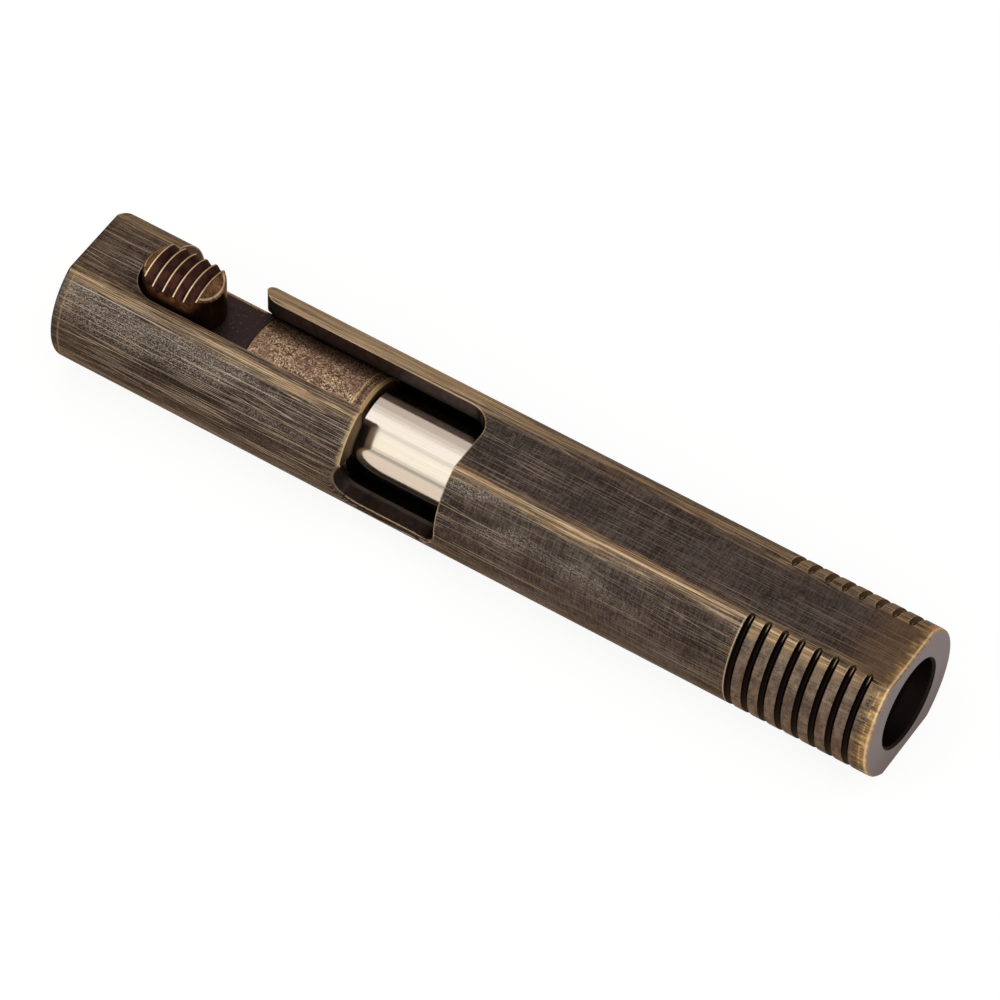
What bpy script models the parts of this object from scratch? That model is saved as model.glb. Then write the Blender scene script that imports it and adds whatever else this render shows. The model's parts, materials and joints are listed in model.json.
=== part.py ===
"""Bolt-action pocket push-rod: a brass bar receiver, a sliding bolt with a thumb button, and a steel rod.

Frame: metres, +X towards the muzzle, +Z up, origin on the bottom flat under the middle of the bar.
Lengths below are in millimetres and are turned into metres by mm().
"""

import math

import bmesh
import bpy
from mathutils import Matrix, Vector

# ---------------------------------------------------------------- driving dimensions (mm)

CLEARANCE = 0.3  # air between neighbouring pieces

# Receiver bar
BAR_LENGTH = 90.0
BORE_DIAMETER = 10.8
BAR_WALL = 2.1  # bore to the round side
FLAT_WALL = 0.975  # bore to the top and bottom flats
BAR_EDGE_ROUND = 0.8
SHOULDER_STEP = 0.9  # bore wall in to the narrower front bore
FRONT_BORE_CHAMFER = 0.25

# Grip grooves, counted from the muzzle
GROOVE_COUNT = 8
GROOVE_PITCH = 1.78
GROOVE_FROM_MUZZLE = 2.3
GROOVE_WIDTH = 0.78
GROOVE_DEPTH = 0.36

# Slot for the thumb button, its locking leg, and the side port
SLOT_REAR_WALL = 5.8  # bar end to the rear end of the slot
SLOT_LENGTH = 37.5  # to the front edge of the port
SLOT_CORNER = 2.7  # far front corner of the slot
LEG_FROM_SLOT_REAR = 1.7
LEG_PLAY = 0.9  # leg longer than the button that turns into it
LEG_ELBOW = 2.0
PORT_PLAY = 2.3  # port longer than the button
PORT_CORNER = 0.35
PORT_MILL_RADIUS = 2.7  # leaves the port's sill this far below the bore axis
PORT_LIP = 0.4  # broken edge outside the sill and the hook
HOOK_DEPTH = 0.7
LEG_SILL_DROP = 1.9  # below the bore axis
LEG_MILL_RADIUS = 2.0

# Bolt
BOLT_BEHIND_PORT = 0.8  # bolt front behind the port's rear edge at rest
BOLT_STOP_GAP = 0.6  # button to the slot's front end at full stroke
BOLT_CHAMFER = 0.3
BOLT_FLAT_CUT = 1.2  # depth of the flat below the bolt's round surface
BOLT_FLAT_RUN = 4.1  # flat beyond the front of the button
BOLT_GROOVE_BACK = 1.15  # bolt front to the turned line
BOLT_GROOVE_WIDTH = 0.3
BOLT_GROOVE_DEPTH = 0.15

# Thumb button
BUTTON_LENGTH = 8.4
BUTTON_WIDTH = 5.6
BUTTON_CROWN_RADIUS = 4.5
BUTTON_PROUD = 2.675  # crown above the bar's top flat
BUTTON_END_SLOPE = 42.0  # degrees
BUTTON_RIM_CHAMFER = 0.3
BUTTON_REAR_GAP = 0.5  # slot end to button at rest
TOOTH_COUNT = 5
TOOTH_PITCH = 1.16
TOOTH_LAND = 0.2
TOOTH_DEPTH = 0.45
STEM_DIAMETER = 4.0
STEM_LENGTH = 5.4
SET_SCREW_DIAMETER = 3.0
SET_SCREW_RECESS = 0.8  # screw's rear end inside the bolt's
SET_SCREW_HEX = 1.5  # across the socket's flats
SET_SCREW_HEX_DEPTH = 1.5

# Push rod
ROD_CLEARANCE = 0.3  # all round in the front bore
ROD_RECESS = 2.4  # rod tip behind the muzzle at rest
ROD_CHAMFER = 0.3
SPIGOT_DIAMETER = 5.0
SPIGOT_LENGTH = 7.6
PIN_DIAMETER = 2.0
PIN_BACK = 4.3  # bolt front to the pin

# Detent under the bolt
BALL_DIAMETER = 2.4
BALL_PROUD = 0.1  # ball beyond the bolt's surface
POCKET_DEPTH = 5.9
SPRING_DIAMETER = 2.2
SPRING_WIRE = 0.34
SPRING_TURNS = 5
DIMPLE_DEPTH = 0.2

# Rear plug, from its slot forward: web, ring groove, land
PLUG_SLOT_WIDTH = 1.2
PLUG_SLOT_DEPTH = 1.0
PLUG_WEB = 0.4
O_RING_SECTION = 0.9
PLUG_LAND = 0.5
BOLT_PLUG_GAP = 0.6

# ---------------------------------------------------------------- worked-out dimensions (mm)

BORE_RADIUS = BORE_DIAMETER / 2
BAR_RADIUS = BORE_RADIUS + BAR_WALL
AXIS_HEIGHT = BORE_RADIUS + FLAT_WALL  # bore axis above the bottom flat
FRONT_BORE_RADIUS = BORE_RADIUS - SHOULDER_STEP
MUZZLE = BAR_LENGTH / 2
REAR = -BAR_LENGTH / 2

SLOT_REAR = REAR + SLOT_REAR_WALL
PORT_FRONT = SLOT_REAR + SLOT_LENGTH
PORT_REAR = PORT_FRONT - BUTTON_LENGTH - PORT_PLAY
BUTTON_X = SLOT_REAR + BUTTON_REAR_GAP + BUTTON_LENGTH / 2
BUTTON_FRONT = BUTTON_X + BUTTON_LENGTH / 2
BUTTON_RADIUS = BUTTON_WIDTH / 2
BUTTON_CROWN = AXIS_HEIGHT + BUTTON_PROUD  # crown above the bore axis
SLOT_RADIUS = BUTTON_RADIUS + CLEARANCE
LEG_REAR = SLOT_REAR + LEG_FROM_SLOT_REAR
LEG_FRONT = LEG_REAR + BUTTON_LENGTH + LEG_PLAY
HOOK_X = PORT_REAR - HOOK_DEPTH + PORT_MILL_RADIUS  # middle of the hook's arc
HOOK_TOP = math.degrees(math.acos((PORT_REAR - HOOK_X) / PORT_MILL_RADIUS))

PLUG_RING_GROOVE = O_RING_SECTION + CLEARANCE
PLUG_REAR = REAR + CLEARANCE
PLUG_FRONT = PLUG_REAR + PLUG_SLOT_DEPTH + PLUG_WEB + PLUG_RING_GROOVE + PLUG_LAND
O_RING_X = PLUG_FRONT - PLUG_LAND - PLUG_RING_GROOVE / 2

BOLT_RADIUS = BORE_RADIUS - CLEARANCE
BOLT_REAR = PLUG_FRONT + BOLT_PLUG_GAP
BOLT_FRONT = PORT_REAR - BOLT_BEHIND_PORT
BOLT_STROKE = PORT_FRONT - BUTTON_FRONT - BOLT_STOP_GAP
BOLT_FLAT = BOLT_RADIUS - BOLT_FLAT_CUT  # flat above the bore axis
SHOULDER = BOLT_FRONT + BOLT_STROKE + CLEARANCE

ROD_RADIUS = FRONT_BORE_RADIUS - ROD_CLEARANCE
ROD_TIP = MUZZLE - ROD_RECESS
ROD_SOCKET_REAR = BOLT_FRONT - SPIGOT_LENGTH - CLEARANCE
PIN_X = BOLT_FRONT - PIN_BACK
STEM_HOLE_RADIUS = STEM_DIAMETER / 2 + CLEARANCE
DETENT_X = (BUTTON_X + STEM_HOLE_RADIUS + ROD_SOCKET_REAR) / 2  # midway between the two holes
BALL_Z = -BOLT_RADIUS - BALL_PROUD + BALL_DIAMETER / 2
OUTSIDE = BAR_RADIUS + 1.5  # beyond any face of the bar
OVERRUN = 1.0  # how far a cutter passes an open end

BAR_STEPS = 80
ROUND_STEPS = 56
SMALL_STEPS = 24
FACET_TURN = 2.3  # degrees, so that the facets of crossing holes don't meet corner to corner


def mm(length):
    """Millimetres to metres."""
    return length / 1000


# ---------------------------------------------------------------- scene and collections

for old in list(bpy.data.objects):
    bpy.data.objects.remove(old, do_unlink=True)

PARTS = bpy.data.collections.new("bolt_action_push_rod")
CUTTERS = bpy.data.collections.new("cutters")
bpy.context.scene.collection.children.link(PARTS)
bpy.context.scene.collection.children.link(CUTTERS)


def add_object(name, mesh, collection=PARTS):
    """Put a mesh in the scene with its origin on the bore axis."""
    obj = bpy.data.objects.new(name, mesh)
    obj.location = (0, 0, mm(AXIS_HEIGHT))
    collection.objects.link(obj)
    if collection is CUTTERS:
        obj.hide_render = True
        obj.display_type = "WIRE"
    return obj


def metal(name, colour, roughness, metallic=1.0):
    """Principled material of one colour."""
    material = bpy.data.materials.new(name)
    material.use_nodes = True
    shader = material.node_tree.nodes["Principled BSDF"]
    shader.inputs["Base Color"].default_value = (*colour, 1.0)
    shader.inputs["Roughness"].default_value = roughness
    shader.inputs["Metallic"].default_value = metallic
    return material


AGED_BRASS = metal("aged_brass", (0.16, 0.11, 0.07), 0.42)
BUTTON_BRASS = metal("button_brass", (0.20, 0.12, 0.06), 0.38)
BOLT_BRASS = metal("bolt_brass", (0.24, 0.15, 0.07), 0.48)
POLISHED_STEEL = metal("polished_steel", (0.78, 0.75, 0.70), 0.08)
BLACK_STEEL = metal("black_steel", (0.05, 0.05, 0.05), 0.45)
SPRING_STEEL = metal("spring_steel", (0.55, 0.55, 0.54), 0.25)
RUBBER = metal("black_rubber", (0.02, 0.02, 0.02), 0.7, metallic=0.0)


# ---------------------------------------------------------------- modelling helpers


def turned(name, profile, collection=PARTS, steps=ROUND_STEPS, closed=False, turn=0.0):
    """Solid of revolution about the bore axis, its first facet turned by some degrees.

    profile: (x, radius) points. An open profile runs from rear to front and starts and ends on
    the axis. A closed one is a ring's section, whose outer side runs from front to rear.
    """
    mesh = bpy.data.meshes.new(name)
    side = (math.cos(math.radians(turn)), math.sin(math.radians(turn)))
    points = [(mm(radius) * side[0], mm(radius) * side[1], mm(x)) for x, radius in profile]
    if not closed:
        points.reverse()
    edges = [(i, i + 1) for i in range(len(points) - 1)]
    if closed:
        edges.append((len(points) - 1, 0))
    mesh.from_pydata(points, edges, [])
    obj = add_object(name, mesh, collection)
    obj.rotation_euler = (0, math.radians(90), 0)
    screw = obj.modifiers.new("turn", "SCREW")
    screw.axis = "Z"
    screw.steps = steps
    screw.render_steps = steps
    screw.use_merge_vertices = True
    screw.merge_threshold = 1e-6
    return obj


def cylinder(name, radius, start, end, collection=PARTS, steps=SMALL_STEPS):
    """Round bar between two points given in mm from the bore axis."""
    start = Vector(start)
    end = Vector(end)
    along = end - start
    turn = Vector((0, 0, 1)).rotation_difference(along).to_matrix().to_4x4()
    turn = turn @ Matrix.Rotation(math.radians(FACET_TURN), 4, "Z")
    shape = bmesh.new()
    bmesh.ops.create_cone(
        shape,
        cap_ends=True,
        segments=steps,
        radius1=mm(radius),
        radius2=mm(radius),
        depth=mm(along.length),
        matrix=Matrix.Translation((start + end) / 2 / 1000) @ turn,
    )
    mesh = bpy.data.meshes.new(name)
    shape.to_mesh(mesh)
    shape.free()
    return add_object(name, mesh, collection)


def box(name, low, high, collection=CUTTERS):
    """Box between two corners given in mm from the bore axis."""
    low = Vector(low)
    high = Vector(high)
    size = (high - low) / 1000
    shape = bmesh.new()
    bmesh.ops.create_cube(
        shape,
        size=1.0,
        matrix=Matrix.Translation((low + high) / 2 / 1000) @ Matrix.Diagonal((*size, 1)),
    )
    mesh = bpy.data.meshes.new(name)
    shape.to_mesh(mesh)
    shape.free()
    return add_object(name, mesh, collection)


def arc(centre, radius, start, end, steps=10):
    """Points of an arc, angles in degrees."""
    points = []
    for step in range(steps + 1):
        angle = math.radians(start + (end - start) * step / steps)
        points.append((centre[0] + radius * math.cos(angle), centre[1] + radius * math.sin(angle)))
    return points


def plate(name, outline, low, high, upright=False, collection=CUTTERS):
    """Flat outline given a thickness.

    The outline lies in XY and is thick from low to high in Z. An upright one lies in XZ and is
    thick from low to high in Y.
    """
    curve = bpy.data.curves.new(name, "CURVE")
    curve.dimensions = "2D"
    curve.fill_mode = "BOTH"
    curve.extrude = mm(high - low) / 2
    spline = curve.splines.new("POLY")
    spline.points.add(len(outline) - 1)
    for point, (across, up) in zip(spline.points, outline):
        point.co = (mm(across), mm(up), 0, 1)
    spline.use_cyclic_u = True
    guide = bpy.data.objects.new(name + "_outline", curve)
    bpy.context.scene.collection.objects.link(guide)
    graph = bpy.context.evaluated_depsgraph_get()
    mesh = bpy.data.meshes.new_from_object(guide.evaluated_get(graph))
    bpy.data.objects.remove(guide, do_unlink=True)
    mesh.name = name
    turn = Matrix.Rotation(math.radians(90), 4, "X") if upright else Matrix.Identity(4)
    middle = mm(low + high) / 2
    place = Vector((0, middle, 0)) if upright else Vector((0, 0, middle))
    shape = bmesh.new()
    shape.from_mesh(mesh)
    bmesh.ops.remove_doubles(shape, verts=shape.verts, dist=1e-7)
    bmesh.ops.transform(shape, matrix=Matrix.Translation(place) @ turn, verts=shape.verts)
    bmesh.ops.recalc_face_normals(shape, faces=shape.faces)
    shape.to_mesh(mesh)
    shape.free()
    return add_object(name, mesh, collection)


def combine(obj, other, operation="DIFFERENCE"):
    """Boolean with another object, which goes among the cutters."""
    boolean = obj.modifiers.new(operation.lower() + "_" + other.name, "BOOLEAN")
    boolean.operation = operation
    boolean.object = other
    return obj


def round_edges(obj, width, angle, segments=3):
    """Round every edge sharper than an angle in degrees."""
    bevel = obj.modifiers.new("edge_round", "BEVEL")
    bevel.width = mm(width)
    bevel.segments = segments
    bevel.limit_method = "ANGLE"
    bevel.angle_limit = math.radians(angle)
    return obj


def finish(obj, material):
    """Freeze the modelling steps, shade smooth and give the material."""
    graph = bpy.context.evaluated_depsgraph_get()
    mesh = bpy.data.meshes.new_from_object(obj.evaluated_get(graph))
    mesh.name = obj.name
    obj.modifiers.clear()
    obj.data = mesh
    mesh.shade_smooth()
    mesh.set_sharp_from_angle(angle=math.radians(30))
    mesh.materials.clear()
    mesh.materials.append(material)
    return obj


def ball_profile():
    """Half circle of the detent ball, from rear to front."""
    radius = BALL_DIAMETER / 2
    return [(-radius, 0)] + arc((0, 0), radius, 165, 15, 10) + [(radius, 0)]


# ---------------------------------------------------------------- receiver


def slot_outline():
    """Plan of the slot with its locking leg on the +Y side and the port on the -Y side."""
    near = -SLOT_RADIUS
    far = SLOT_RADIUS
    rear_centre = (SLOT_REAR + SLOT_RADIUS, 0)
    leg_angle = math.degrees(math.acos((rear_centre[0] - LEG_REAR) / SLOT_RADIUS))
    outline = arc(rear_centre, SLOT_RADIUS, 270, 180 - leg_angle, 20)
    outline.append((LEG_REAR, OUTSIDE))
    outline.append((LEG_FRONT, OUTSIDE))
    outline += arc((LEG_FRONT + LEG_ELBOW, far + LEG_ELBOW), LEG_ELBOW, 180, 270)
    front_corner = (PORT_FRONT - SLOT_CORNER, far - SLOT_CORNER)
    outline += arc(front_corner, SLOT_CORNER, 90, 0, 14)
    outline.append((PORT_FRONT, -OUTSIDE))
    outline.append((PORT_REAR, -OUTSIDE))
    outline += arc((PORT_REAR - PORT_CORNER, near - PORT_CORNER), PORT_CORNER, 0, 90, 4)
    return outline


def leg_side_outline():
    """Elevation of the locking leg, seen along Y, with rounded lower corners."""
    corner = LEG_MILL_RADIUS
    sill = -LEG_SILL_DROP
    outline = arc((LEG_REAR + corner, sill + corner), corner, 180, 270)
    outline += arc((LEG_FRONT - corner, sill + corner), corner, 270, 360)
    outline.append((LEG_FRONT, OUTSIDE))
    outline.append((LEG_REAR, OUTSIDE))
    return outline


def port_side_outline():
    """Elevation of the port, with the locking hook at its lower rear."""
    outline = [(PORT_REAR, OUTSIDE)]
    outline += arc((HOOK_X, 0), PORT_MILL_RADIUS, HOOK_TOP, 270, 16)
    outline += arc((PORT_FRONT - PORT_MILL_RADIUS, 0), PORT_MILL_RADIUS, 270, 360)
    outline.append((PORT_FRONT, OUTSIDE))
    return outline


def port_lip():
    """Cutter for the broken edge round the sill and the hook, which runs out up the front wall."""
    stations = []  # middle of the arc, angle down from +X, width of the lip
    for step in range(1, 11):
        share = step / 10
        stations.append((PORT_FRONT - PORT_MILL_RADIUS, -90 * share, PORT_LIP * share))
    for step in range(18):
        stations.append((HOOK_X, -90 - (270 - HOOK_TOP) * step / 16, PORT_LIP))

    points = []
    for middle, angle, width in stations:
        out_x = math.cos(math.radians(angle))
        out_z = math.sin(math.radians(angle))
        x = middle + PORT_MILL_RADIUS * out_x
        z = PORT_MILL_RADIUS * out_z
        inner = Vector((x, width - math.sqrt(BAR_RADIUS**2 - z**2), z))
        edge_z = z + width * out_z
        outer = Vector((x + width * out_x, -math.sqrt(BAR_RADIUS**2 - edge_z**2), edge_z))
        along = (outer - inner).normalized()
        past = inner - width * Vector((out_x, 0, out_z)) - Vector((0, OVERRUN + width, 0))
        points += [inner - along * PORT_LIP, outer + along * PORT_LIP, past]

    faces = [(2, 1, 0), (len(points) - 3, len(points) - 2, len(points) - 1)]
    for first in range(0, len(points) - 3, 3):
        for side in range(3):
            other = (side + 1) % 3
            faces.append((first + side, first + other, first + 3 + other, first + 3 + side))
    mesh = bpy.data.meshes.new("port_lip")
    mesh.from_pydata([[mm(value) for value in point] for point in points], [], faces)
    shape = bmesh.new()
    shape.from_mesh(mesh)
    bmesh.ops.recalc_face_normals(shape, faces=shape.faces)
    shape.to_mesh(mesh)
    shape.free()
    return add_object("port_lip", mesh, CUTTERS)


def groove_section(x):
    """Round-bottomed section of one grip groove, from rear to front."""
    half = GROOVE_WIDTH / 2
    section = [(x - half, BAR_RADIUS + OVERRUN)]
    for angle in (205, 270, 335):
        turn = math.radians(angle)
        section.append((x + half * math.cos(turn), BAR_RADIUS + GROOVE_DEPTH * math.sin(turn)))
    section.append((x + half, BAR_RADIUS + OVERRUN))
    return section


def make_receiver():
    bar = cylinder("receiver", BAR_RADIUS, (REAR, 0, 0), (MUZZLE, 0, 0), steps=BAR_STEPS)
    half = AXIS_HEIGHT
    far_x = MUZZLE + OVERRUN
    flats = box("flats", (-far_x, -OUTSIDE, -half), (far_x, OUTSIDE, half))
    combine(bar, flats, "INTERSECT")
    round_edges(bar, BAR_EDGE_ROUND, 20, segments=4)

    bore = [
        (REAR - OVERRUN, 0),
        (REAR - OVERRUN, BORE_RADIUS),
        (SHOULDER, BORE_RADIUS),
        (SHOULDER, FRONT_BORE_RADIUS),
        (MUZZLE - FRONT_BORE_CHAMFER, FRONT_BORE_RADIUS),
        (MUZZLE + OVERRUN, FRONT_BORE_RADIUS + FRONT_BORE_CHAMFER + OVERRUN),
        (MUZZLE + OVERRUN, 0),
    ]
    combine(bar, turned("bore", bore, CUTTERS))

    combine(bar, plate("slot", slot_outline(), 0, OUTSIDE))
    combine(bar, plate("leg_side", leg_side_outline(), 0, OUTSIDE, upright=True))
    combine(bar, plate("port_side", port_side_outline(), -OUTSIDE, 0, upright=True))
    combine(bar, port_lip())

    for number in range(GROOVE_COUNT):
        x = MUZZLE - GROOVE_FROM_MUZZLE - number * GROOVE_PITCH
        section = groove_section(x)
        combine(bar, turned(f"groove_{number + 1}", section, CUTTERS, BAR_STEPS, closed=True))

    low = -BORE_RADIUS - DIMPLE_DEPTH
    for number, x in enumerate((DETENT_X, DETENT_X + BOLT_STROKE)):
        dimple = turned(f"dimple_{number + 1}", ball_profile(), CUTTERS, SMALL_STEPS)
        dimple.location += Vector((mm(x), 0, mm(low + BALL_DIAMETER / 2)))
        combine(bar, dimple)
    return finish(bar, AGED_BRASS)


# ---------------------------------------------------------------- rear plug and its ring


def make_rear_plug():
    outer = BORE_RADIUS - CLEARANCE
    root = BORE_RADIUS - O_RING_SECTION - CLEARANCE
    half = PLUG_RING_GROOVE / 2
    profile = [
        (PLUG_REAR, 0),
        (PLUG_REAR, outer - CLEARANCE),
        (PLUG_REAR + CLEARANCE, outer),
        (O_RING_X - half, outer),
        (O_RING_X - half, root),
        (O_RING_X + half, root),
        (O_RING_X + half, outer),
        (PLUG_FRONT, outer),
        (PLUG_FRONT, 0),
    ]
    plug = turned("rear_plug", profile)
    half_slot = PLUG_SLOT_WIDTH / 2
    low = (REAR - OVERRUN, -OUTSIDE, -half_slot)
    high = (PLUG_REAR + PLUG_SLOT_DEPTH, OUTSIDE, half_slot)
    combine(plug, box("plug_slot", low, high))
    return finish(plug, AGED_BRASS)


def make_o_ring():
    radius = O_RING_SECTION / 2 - CLEARANCE / 2
    centre = (O_RING_X, BORE_RADIUS - O_RING_SECTION / 2 - CLEARANCE / 2)
    ring = turned("plug_o_ring", arc(centre, radius, 0, 315, 7), closed=True, steps=32)
    return finish(ring, RUBBER)


# ---------------------------------------------------------------- bolt


def make_bolt():
    line = BOLT_FRONT - BOLT_GROOVE_BACK
    half_line = BOLT_GROOVE_WIDTH / 2
    profile = [
        (BOLT_REAR, 0),
        (BOLT_REAR, BOLT_RADIUS - BOLT_CHAMFER),
        (BOLT_REAR + BOLT_CHAMFER, BOLT_RADIUS),
        (line - half_line, BOLT_RADIUS),
        (line, BOLT_RADIUS - BOLT_GROOVE_DEPTH),
        (line + half_line, BOLT_RADIUS),
        (BOLT_FRONT - BOLT_CHAMFER, BOLT_RADIUS),
        (BOLT_FRONT, BOLT_RADIUS - BOLT_CHAMFER),
        (BOLT_FRONT, 0),
    ]
    bolt = turned("bolt", profile)

    low = (BOLT_REAR - OVERRUN, -OUTSIDE, BOLT_FLAT)
    high = (BUTTON_FRONT + BOLT_FLAT_RUN, OUTSIDE, OUTSIDE)
    combine(bolt, box("bolt_flat", low, high))

    spigot = SPIGOT_DIAMETER / 2 + CLEARANCE
    ends = ((ROD_SOCKET_REAR, 0, 0), (BOLT_FRONT + OVERRUN, 0, 0))
    combine(bolt, cylinder("rod_socket", spigot, *ends, CUTTERS))

    pin = PIN_DIAMETER / 2 + CLEARANCE
    ends = ((PIN_X, -OUTSIDE, 0), (PIN_X, OUTSIDE, 0))
    combine(bolt, cylinder("pin_hole", pin, *ends, CUTTERS))

    floor = BOLT_FLAT - STEM_LENGTH - CLEARANCE
    ends = ((BUTTON_X, 0, floor), (BUTTON_X, 0, OUTSIDE))
    combine(bolt, cylinder("stem_hole", STEM_HOLE_RADIUS, *ends, CUTTERS))

    screw = SET_SCREW_DIAMETER / 2 + CLEARANCE
    ends = ((BOLT_REAR - OVERRUN, 0, 0), (BUTTON_X, 0, 0))
    combine(bolt, cylinder("set_screw_hole", screw, *ends, CUTTERS))

    pocket = BALL_DIAMETER / 2 + CLEARANCE
    ends = ((DETENT_X, 0, -OUTSIDE), (DETENT_X, 0, POCKET_DEPTH - BOLT_RADIUS))
    combine(bolt, cylinder("detent_pocket", pocket, *ends, CUTTERS))
    return finish(bolt, BOLT_BRASS)


# ---------------------------------------------------------------- thumb button


def button_plan():
    """Plan of the button: straight sides and round ends."""
    reach = BUTTON_LENGTH / 2 - BUTTON_RADIUS
    outline = arc((BUTTON_X + reach, 0), BUTTON_RADIUS, -90, 90, 20)
    outline += arc((BUTTON_X - reach, 0), BUTTON_RADIUS, 90, 270, 20)
    return outline


def make_button():
    crown_axis = BUTTON_CROWN - BUTTON_CROWN_RADIUS
    underside = BOLT_FLAT + CLEARANCE
    top = BUTTON_CROWN + OVERRUN
    button = plate("thumb_button", button_plan(), underside, top, collection=PARTS)

    # The crown is a barrel with cone ends, on an axis parallel to the bore.
    teeth = TOOTH_COUNT * TOOTH_PITCH + TOOTH_LAND
    reach = BUTTON_LENGTH / 2 + OVERRUN
    drop = (reach - teeth / 2) * math.tan(math.radians(BUTTON_END_SLOPE))
    barrel = [
        (-reach, 0),
        (-reach, BUTTON_CROWN_RADIUS - drop),
        (-teeth / 2, BUTTON_CROWN_RADIUS),
        (teeth / 2, BUTTON_CROWN_RADIUS),
        (reach, BUTTON_CROWN_RADIUS - drop),
        (reach, 0),
    ]
    crown = turned("button_crown", barrel, CUTTERS)
    crown.location += Vector((mm(BUTTON_X), 0, mm(crown_axis)))
    block_reach = BUTTON_LENGTH
    low = (BUTTON_X - block_reach, -OUTSIDE, underside - OVERRUN)
    high = (BUTTON_X + block_reach, OUTSIDE, crown_axis)
    combine(crown, box("button_block", low, high), "UNION")
    combine(button, crown, "INTERSECT")
    round_edges(button, BUTTON_RIM_CHAMFER, 44, segments=2)

    half_top = (TOOTH_PITCH - TOOTH_LAND) / 2 * (OVERRUN + TOOTH_DEPTH) / TOOTH_DEPTH
    for number in range(TOOTH_COUNT):
        x = (number - (TOOTH_COUNT - 1) / 2) * TOOTH_PITCH
        section = [
            (x - half_top, BUTTON_CROWN_RADIUS + OVERRUN),
            (x, BUTTON_CROWN_RADIUS - TOOTH_DEPTH),
            (x + half_top, BUTTON_CROWN_RADIUS + OVERRUN),
        ]
        cut = turned(f"tooth_gap_{number + 1}", section, CUTTERS, closed=True, turn=FACET_TURN)
        cut.location += Vector((mm(BUTTON_X), 0, mm(crown_axis)))
        combine(button, cut)

    ends = ((BUTTON_X, 0, BOLT_FLAT - STEM_LENGTH), (BUTTON_X, 0, underside + OVERRUN))
    combine(button, cylinder("button_stem", STEM_DIAMETER / 2, *ends, CUTTERS), "UNION")
    return finish(button, BUTTON_BRASS)


def make_set_screw():
    front = BUTTON_X - STEM_HOLE_RADIUS
    rear = BOLT_REAR + SET_SCREW_RECESS
    radius = SET_SCREW_DIAMETER / 2
    profile = [
        (rear, 0),
        (rear, radius),
        (front - BOLT_CHAMFER, radius),
        (front, radius - BOLT_CHAMFER),
        (front, 0),
    ]
    screw = turned("button_set_screw", profile, steps=SMALL_STEPS)
    hex_radius = SET_SCREW_HEX / math.sqrt(3)
    ends = ((rear - OVERRUN, 0, 0), (rear + SET_SCREW_HEX_DEPTH, 0, 0))
    combine(screw, cylinder("hex_socket", hex_radius, *ends, CUTTERS, steps=6))
    return finish(screw, BLACK_STEEL)


# ---------------------------------------------------------------- push rod and its pin


def make_push_rod():
    spigot = SPIGOT_DIAMETER / 2
    rear = BOLT_FRONT - SPIGOT_LENGTH
    shoulder = BOLT_FRONT + CLEARANCE
    profile = [
        (rear, 0),
        (rear, spigot),
        (shoulder, spigot),
        (shoulder, ROD_RADIUS),
        (ROD_TIP - ROD_CHAMFER, ROD_RADIUS),
        (ROD_TIP, ROD_RADIUS - ROD_CHAMFER),
        (ROD_TIP, 0),
    ]
    rod = turned("push_rod", profile)
    pin = PIN_DIAMETER / 2 + CLEARANCE
    ends = ((PIN_X, -OUTSIDE, 0), (PIN_X, OUTSIDE, 0))
    combine(rod, cylinder("rod_pin_hole", pin, *ends, CUTTERS))
    return finish(rod, POLISHED_STEEL)


def make_rod_pin():
    reach = BOLT_RADIUS - CLEARANCE
    ends = ((PIN_X, -reach, 0), (PIN_X, reach, 0))
    return finish(cylinder("rod_pin", PIN_DIAMETER / 2, *ends), SPRING_STEEL)


# ---------------------------------------------------------------- detent


def make_ball():
    detent = turned("detent_ball", ball_profile(), steps=SMALL_STEPS)
    detent.location += Vector((mm(DETENT_X), 0, mm(BALL_Z)))
    return finish(detent, SPRING_STEEL)


def make_spring():
    """Helical spring between the ball and the floor of its pocket."""
    low = BALL_Z + BALL_DIAMETER / 2 + CLEARANCE / 2 + SPRING_WIRE / 2
    high = POCKET_DEPTH - BOLT_RADIUS - CLEARANCE - SPRING_WIRE / 2
    coil = (SPRING_DIAMETER - SPRING_WIRE) / 2
    per_turn = 10
    count = SPRING_TURNS * per_turn
    curve = bpy.data.curves.new("detent_spring", "CURVE")
    curve.dimensions = "3D"
    curve.bevel_depth = mm(SPRING_WIRE / 2)
    curve.bevel_resolution = 2
    curve.use_fill_caps = True
    spline = curve.splines.new("POLY")
    spline.points.add(count)
    for step, point in enumerate(spline.points):
        angle = math.tau * step / per_turn
        z = low + (high - low) * step / count
        point.co = (mm(coil * math.cos(angle)), mm(coil * math.sin(angle)), mm(z), 1)
    curve.materials.append(SPRING_STEEL)
    spring = bpy.data.objects.new("detent_spring", curve)
    spring.location = (mm(DETENT_X), 0, mm(AXIS_HEIGHT))
    PARTS.objects.link(spring)
    return spring


# ---------------------------------------------------------------- assembly


def hold(name, pieces, x=0.0):
    """Empty on the bore axis that carries one body's pieces."""
    place = Vector((mm(x), 0, mm(AXIS_HEIGHT)))
    empty = bpy.data.objects.new(name, None)
    empty.location = place
    PARTS.objects.link(empty)
    for piece in pieces:
        piece.parent = empty
        piece.matrix_parent_inverse = Matrix.Translation(-place)
    return empty


hold("receiver_body", [make_receiver(), make_rear_plug(), make_o_ring()])
bolt_body = hold(
    "bolt_body",
    [make_bolt(), make_button(), make_set_screw(), make_push_rod(), make_rod_pin(), make_spring()],
)
detent_body = hold("detent_body", [make_ball()], x=DETENT_X)
detent_body.parent = bolt_body
detent_body.matrix_parent_inverse = Matrix.Translation((0, 0, -mm(AXIS_HEIGHT)))
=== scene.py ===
"""Looks of the bolt-action push rod: antiqued brass, polished steel and a plain white studio.

Everything is in the CAD model's frame, in metres: +X towards the muzzle, +Z up, the bottom flat
on the floor. Materials measure in millimetres from the same origin.
"""

import json
import math

import bmesh
import bpy
from mathutils import Matrix, Vector

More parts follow.
